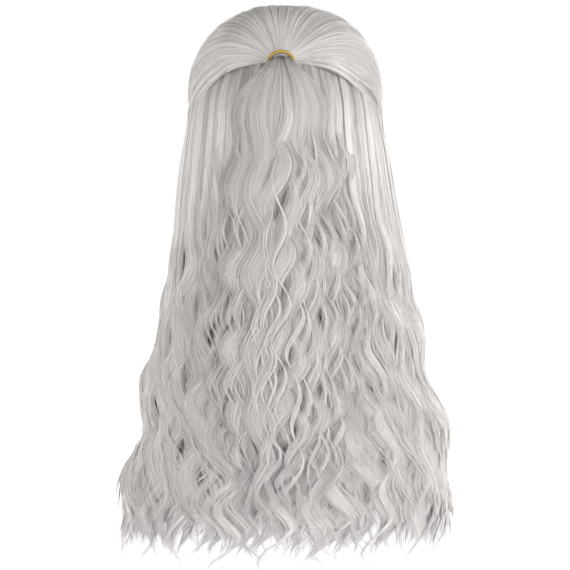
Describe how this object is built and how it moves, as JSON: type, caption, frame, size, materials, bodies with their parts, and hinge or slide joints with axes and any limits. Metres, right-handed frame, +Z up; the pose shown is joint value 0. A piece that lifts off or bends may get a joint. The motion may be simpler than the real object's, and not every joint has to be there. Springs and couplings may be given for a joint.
{
  "type": "costume wig",
  "caption": "Long silver-white wavy costume wig, half-up: top hair swept back to a golden elastic tie, on a stretch net cap with nape adjusters.",
  "frame": {"origin": "inner crown of the cap, where it meets the top of the head", "axes": "+Z up; the wearer faces -Y with the left hand at +X; the long hair hangs towards -Z"},
  "size_m": [0.3295, 0.2415, 0.5669],
  "materials": {
    "hair": "satin",
    "cap_net": "matte",
    "cap_tape": "matte",
    "weft_track": "matte",
    "strap_elastic": "matte",
    "hook_plastic": "satin",
    "stay_wire": "satin",
    "tie_elastic": "satin"
  },
  "bodies": {
    "cap": {"crown_net": "cap_net", "crown_patch": "cap_tape", "front_band": "cap_tape", "nape_band": "cap_tape", "ear_tab_left": "cap_tape", "ear_tab_right": "cap_tape", "ribbon_left_3": "cap_tape", "ribbon_left_2": "cap_tape", "ribbon_left_1": "cap_tape", "ribbon_centre": "cap_tape", "ribbon_right_1": "cap_tape", "ribbon_right_2": "cap_tape", "ribbon_right_3": "cap_tape", "loop_tape_left": "cap_tape", "loop_tape_right": "cap_tape", "weft_track_1": "weft_track", "weft_track_2": "weft_track", "weft_track_3": "weft_track", "weft_track_4": "weft_track", "weft_track_5": "weft_track", "weft_track_6": "weft_track", "weft_track_7": "weft_track", "weft_track_8": "weft_track", "ear_tab_stay_left": "stay_wire", "ear_tab_stay_right": "stay_wire", "adjuster_strap_left": "strap_elastic", "adjuster_strap_right": "strap_elastic", "hair_tie": "tie_elastic", "ponytail_root": "hair", "top_hair_right_3": "hair", "top_hair_right_2": "hair", "top_hair_right_1": "hair", "top_hair_centre": "hair", "top_hair_left_1": "hair", "top_hair_left_2": "hair", "top_hair_left_3": "hair", "side_lock_left": "hair", "back_lock_left_4": "hair", "back_lock_left_3": "hair", "back_lock_left_2": "hair", "back_lock_left_1": "hair", "back_lock_centre": "hair", "back_lock_right_1": "hair", "back_lock_right_2": "hair", "back_lock_right_3": "hair", "back_lock_right_4": "hair", "side_lock_right": "hair", "nape_lock_left": "hair", "nape_lock_centre": "hair", "nape_lock_right": "hair"},
    "ponytail": {"ponytail": "hair"},
    "front_tress_left": {"front_tress_left": "hair"},
    "front_tress_right": {"front_tress_right": "hair"},
    "adjuster_left": {"adjuster_hook_left": "hook_plastic"},
    "adjuster_right": {"adjuster_hook_right": "hook_plastic"}
  },
  "joints": [
    {"name": "ponytail_swing", "type": "hinge", "parent": "cap", "child": "ponytail", "pos_m": [0.004, 0.1137, -0.0476], "axis": [1, 0, 0], "range_deg": [0, 40]},
    {"name": "tress_swing_left", "type": "hinge", "parent": "cap", "child": "front_tress_left", "pos_m": [0.086, -0.036, -0.128], "axis": [-1, 0, 0], "range_deg": [0, 25]},
    {"name": "tress_swing_right", "type": "hinge", "parent": "cap", "child": "front_tress_right", "pos_m": [-0.086, -0.036, -0.128], "axis": [-1, 0, 0], "range_deg": [0, 25]},
    {"name": "adjuster_travel_left", "type": "hinge", "parent": "cap", "child": "adjuster_left", "pos_m": [-0.0035, 0.021, -0.136], "axis": [0, 0, 1], "range_deg": [0, 16], "deforming": ["adjuster_strap_left"]},
    {"name": "adjuster_travel_right", "type": "hinge", "parent": "cap", "child": "adjuster_right", "pos_m": [0.0035, 0.021, -0.136], "axis": [0, 0, -1], "range_deg": [0, 16], "deforming": ["adjuster_strap_right"]}
  ]
}
